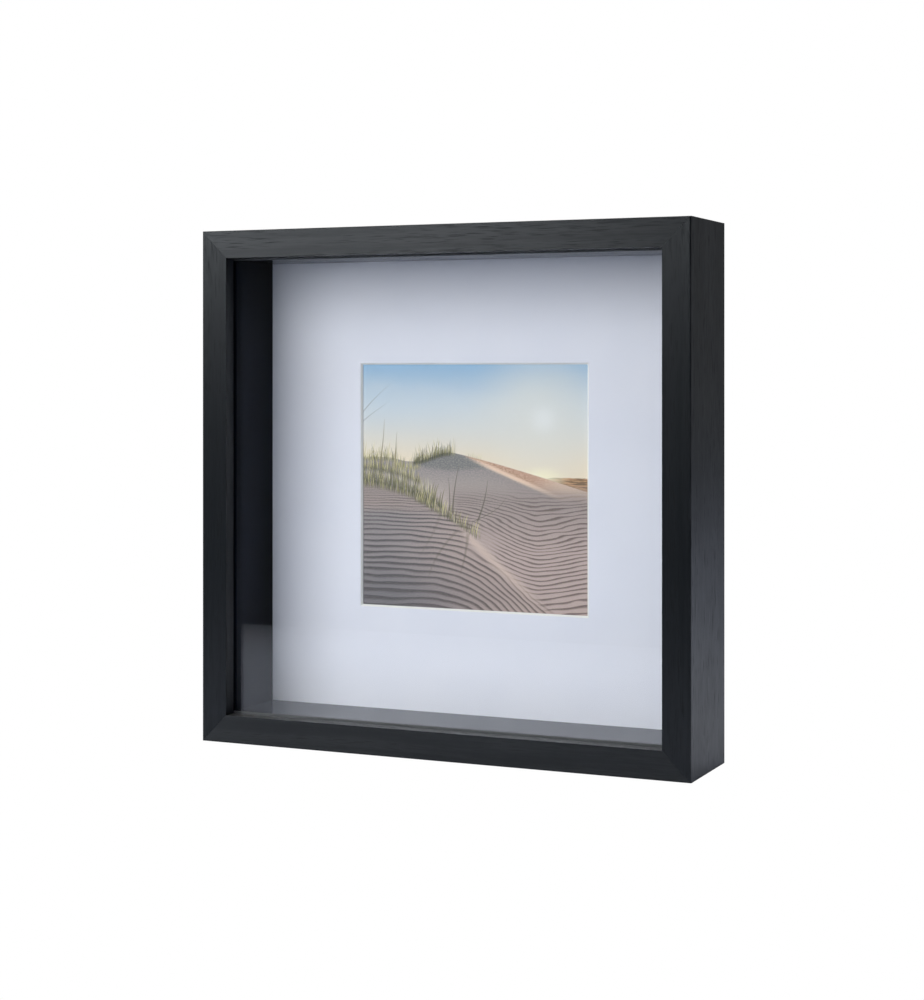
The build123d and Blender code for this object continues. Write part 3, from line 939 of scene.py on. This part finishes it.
@dataclass
class RailCase:
    """The four mitred rails.

    Attributes:
        groups: The shared node groups.
        board_step: How far apart on their boards two rails are cut, in metres.
        dust, ledge_dust_and_lit_top: Pale dust on a rail's faces that look up, and on the bottom rail, whose
            lip is a ledge. There it is laid thickly and is also painted light, a paler lip top as if lit from
            above.
    """

    groups: SharedGroups
    board_step: float = 0.61
    dust_and_lit_top: float = 0.12
    ledge_dust_and_lit_top: float = 0.75

    def build(self) -> None:
        """Dresses the rails, each with a grain of its own."""
        low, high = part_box("rail_bottom")
        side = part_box("rail_top")[1].z - low.z
        half = Vector((side / 2, (high.y - low.y) / 2, side / 2))
        for number, place in enumerate(("top", "bottom", "left", "right"), start=1):
            axis = GrainAxis.ACROSS if place in ("top", "bottom") else GrainAxis.UPRIGHT
            # On the bottom rail the thick dust is also painted light: it pales the lip's top face as if lit
            # from above.
            dust_and_lit_top = self.ledge_dust_and_lit_top if place == "bottom" else self.dust_and_lit_top
            finish = StainedAsh(groups=self.groups, axis=axis, offset=self.board_step * number, half=half,
                                middle=side / 2, dust_and_lit_top=dust_and_lit_top)
            dress(f"rail_{place}", finish.build(f"stained_ash_{place}"))


@dataclass
class Glazing:
    """Glass and the black strips behind it."""

    groups: SharedGroups

    def build(self) -> None:
        """Dresses the pane and the four strips."""
        dress("glass_pane", ClearGlass(groups=self.groups).build("clear_glass"))
        level = BlackFoil(groups=self.groups, sheen=0.165, roughness=0.12, cut_end=1.0)
        upright = BlackFoil(groups=self.groups, sheen=0.035, roughness=0.30, cut_end=0.0)
        strips = {level.build("black_foil_level"): ("top", "bottom"),
                  upright.build("black_foil_upright"): ("left", "right")}
        for foil, places in strips.items():
            for place in places:
                dress(f"spacer_{place}", foil)


@dataclass
class PictureStack:
    """Mat, print, tape hinges, backing board and back panel.

    Attributes:
        groups: The shared node groups.
        window_side: The clear opening in the mat.
    """

    groups: SharedGroups
    window_side: float = 119.2 * MM

    def build(self) -> None:
        """Dresses the stack from front to back."""
        groups = self.groups
        low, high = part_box("window_mat")
        dress("window_mat", MatBoard(groups=groups).build("mat_board"))
        dunes = DunePrint(groups=groups, side=self.window_side, middle=(low.z + high.z) / 2)
        dress("art_print", dunes.build("dune_print"))
        tape = PlainPaper(groups=groups, colour=(0.80, 0.77, 0.68), fleck=(0.66, 0.62, 0.52), fineness=0.7,
                          flecks=0.3)
        dress("print_hinge_tapes", tape.build("linen_tape"))
        board = PlainPaper(groups=groups, colour=(0.36, 0.35, 0.32), fleck=(0.24, 0.23, 0.21), flecks=0.6)
        dress("backing_board", board.build("grey_board"))
        panel = PlainPaper(groups=groups, colour=(0.335, 0.220, 0.128), fleck=(0.17, 0.102, 0.055),
                           fineness=1.9, flecks=0.8, relief=0.40, cloud=0.2)
        dress("back_panel", panel.build("raw_fibreboard"))


@dataclass
class BackFittings:
    """Turn buttons, screws, hangers, rivets, V-nails and bumpers."""

    groups: SharedGroups

    def build(self) -> None:
        """Dresses every fitting."""
        zinc = ZincPlate(groups=self.groups).build("zinc_plate")
        rubber = SoftRubber(groups=self.groups).build("soft_rubber")
        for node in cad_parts:
            if node.startswith(("turn_button", "hanger", "corner_v")):
                dress(node, zinc)
        dress("wall_bumpers", rubber)


# Studio


@dataclass(frozen=True, kw_only=True)
class SoftBox:
    """One soft lamp, aimed at the middle of the frame.

    Attributes:
        name: The lamp's name.
        azimuth: Degrees to the right of the frame's front, as the frame is looked at.
        elevation, distance: Degrees above and metres from the frame's middle.
        size: Width and height, in metres.
        power, colour: Its light, in watts, and the light's colour.
        diffuse, glossy: Whether it lights matt surfaces, and whether satin ones show it.
    """

    name: str
    azimuth: float
    elevation: float
    distance: float
    size: tuple[float, float]
    power: float
    colour: Colour
    diffuse: bool = True
    glossy: bool = True

    def build(self, target: Vector) -> None:
        """Hangs the lamp round the target."""
        turn, rise = math.radians(self.azimuth), math.radians(self.elevation)
        away = Vector((math.sin(turn) * math.cos(rise), -math.cos(turn) * math.cos(rise), math.sin(rise)))
        lamp = bpy.data.lights.new(self.name, "AREA")
        lamp.shape = "RECTANGLE"
        lamp.size, lamp.size_y = self.size
        lamp.energy = self.power
        lamp.color = self.colour
        holder = bpy.data.objects.new(self.name, lamp)
        holder.location = target + away * self.distance
        holder.rotation_euler = (-away).to_track_quat("-Z", "Y").to_euler()
        holder.visible_diffuse = self.diffuse
        holder.visible_glossy = self.glossy
        holder.visible_transmission = False
        bpy.context.scene.collection.objects.link(holder)


@dataclass
class Studio:
    """Pale table top, soft light and the camera.

    Attributes:
        middle: Middle of the frame.
        table_reach: How far the table top reaches to the sides and back from the frame.
        table_front: Where it ends, towards the viewer.
        table_drop: How far it is below the frame's underside.
        table_shift: How far its middle is to the side of the frame's.
        painted_glow_across: Where on the table a painted pool of light, a glow of the table's own, starts
            beside the frame's right-hand side.
        camera_place, camera_turn: Where the camera stands, and its turn to the left in degrees.
        lens_share, horizon_share: Focal length and upward shift, as shares of the sensor's width.
    """

    middle: Vector
    table_reach: float = 2.6
    table_front: float = -0.412
    table_drop: float = 0.2 * MM
    table_shift: float = -0.1
    painted_glow_across: float = 0.13
    camera_place: tuple[float, float, float] = (0.3944, -0.8737, 0.1828)
    camera_turn: float = 24.12
    lens_share: float = 2.0094
    horizon_share: float = -0.1317

    def table(self) -> None:
        """Lays the pale table top. It ends about 0.4 m in front of the frame, and reaches far behind it."""
        bpy.ops.object.select_all(action="DESELECT")
        bpy.ops.mesh.primitive_plane_add(size=1.0, location=(0, 0, 0))
        table = bpy.context.object
        table.name = "table_top"
        table.scale = (self.table_reach * 2, self.table_reach - self.table_front, 1.0)
        table.location = (self.table_shift, (self.table_reach + self.table_front) / 2, -self.table_drop)
        bpy.ops.object.transform_apply(location=True, rotation=True, scale=True)
        table.data.materials.append(self.table_finish())
        table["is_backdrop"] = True

    def table_finish(self) -> Material:
        """White to the camera; to the frame it is a pale card that darkens towards its front edge, with a
        painted pool of light glowing beside the frame's right-hand side.
        """
        material, graph, shader = new_material("pale_table", (0.93, 0.93, 0.94))
        x, y, _ = graph.split(graph.here())
        bright = (y - self.table_front).ramp(-0.05, 0.16) * (y.ramp(-0.30, 0.0) * 0.25 + 0.75)
        bright = bright * (1.0 - y.ramp(0.3, 1.8) * 0.35)
        aside = x - self.painted_glow_across
        away = (aside * aside + y * y).root()
        # Painted light: a glowing pool on the table beside the frame's right-hand side.
        painted_glow = away.ramp(0.75, 0.02) * x.ramp(0.10, 0.16) * y.ramp(-0.08, 0.02)
        colour = graph.mix(bright, (0.03, 0.03, 0.03), (0.80, 0.85, 1.0))
        graph.feed_all(shader, {"Base Color": colour, "Roughness": 0.8, "Specular IOR Level": 0.1,
                                "Emission Color": (1.0, 1.0, 0.97), "Emission Strength": painted_glow * 0.30})
        white = graph.add("Emission", {"Color": WHITE, "Strength": 1.0})
        graph.finish(graph.material_end(), graph.seen(), shader, white)
        return material

    def world(self) -> None:
        """White behind everything, with a dim soft room and a blue curtain at the left to reflect."""
        world = bpy.data.worlds.new("studio")
        world.use_nodes = True
        graph = Graph(world.node_tree)
        world.node_tree.nodes.clear()
        right, back, up = graph.split(graph.add("TexCoord").outputs["Generated"])
        lit = up.ramp(0.15, 0.9) * 0.25 + back.ramp(-0.1, 0.9) * 0.26 + 0.03
        hanging = up.ramp(0.05, 0.0) * 0.6 + up.ramp(0.0, -0.12) * 0.4
        curtain = right.ramp(-0.492, -0.514) * back.ramp(0.0, -0.2) * hanging
        blue = graph.add("Background", {"Color": (0.52, 0.62, 1.0), "Strength": curtain * 0.20})
        plain = graph.add("Background", {"Color": (0.93, 0.96, 1.0), "Strength": lit})
        room = graph.add("AddShader", {0: plain.outputs[0], 1: blue.outputs[0]})
        white = graph.add("Background", {"Color": WHITE, "Strength": 1.0})
        graph.finish(graph.add("OutputWorld"), graph.seen(), room, white)
        bpy.context.scene.world = world

    def lamps(self) -> None:
        """Hangs the soft lamps."""
        lamps = (
            SoftBox(name="key", azimuth=-22.0, elevation=21.0, distance=1.5, size=(1.3, 1.2), power=22.0,
                    colour=(1.0, 0.99, 0.98), glossy=False),
            SoftBox(name="sheen", azimuth=-37.0, elevation=20.0, distance=1.5, size=(1.1, 0.62), power=19.5,
                    colour=(0.91, 0.96, 1.0), diffuse=False),
            SoftBox(name="rear", azimuth=180.0, elevation=48.0, distance=1.8, size=(1.6, 1.0), power=14.0,
                    colour=(0.98, 0.99, 1.0)),
            SoftBox(name="overhead", azimuth=0.0, elevation=88.0, distance=1.6, size=(2.4, 2.0), power=12.0,
                    colour=(0.97, 0.985, 1.0)),
        )
        for lamp in lamps:
            lamp.build(self.middle)

    def camera(self) -> None:
        """Sets up the level camera to the right of the frame's front."""
        data = bpy.data.cameras.new("camera")
        data.sensor_width = 36.0
        data.lens = data.sensor_width * self.lens_share
        data.shift_y = self.horizon_share
        data.clip_start, data.clip_end = 0.01, 50.0
        holder = bpy.data.objects.new("camera", data)
        holder.location = self.camera_place
        holder.rotation_euler = (math.radians(90.0), 0.0, math.radians(self.camera_turn))
        bpy.context.scene.collection.objects.link(holder)
        bpy.context.scene.camera = holder

    def build(self) -> None:
        """Builds the whole studio."""
        self.table()
        self.world()
        self.lamps()
        self.camera()
        bpy.context.scene.view_settings.view_transform = "Standard"


def main() -> None:
    """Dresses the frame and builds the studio."""
    logging.basicConfig(level=logging.INFO, format="%(message)s")
    cad_low, cad_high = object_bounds()
    groups = SharedGroups()
    for assembly in (RailCase(groups), Glazing(groups), PictureStack(groups), BackFittings(groups)):
        log.info("building %s", type(assembly).__name__)
        assembly.build()
    Studio((cad_low + cad_high) / 2).build()


if __name__ == "__main__":
    main()
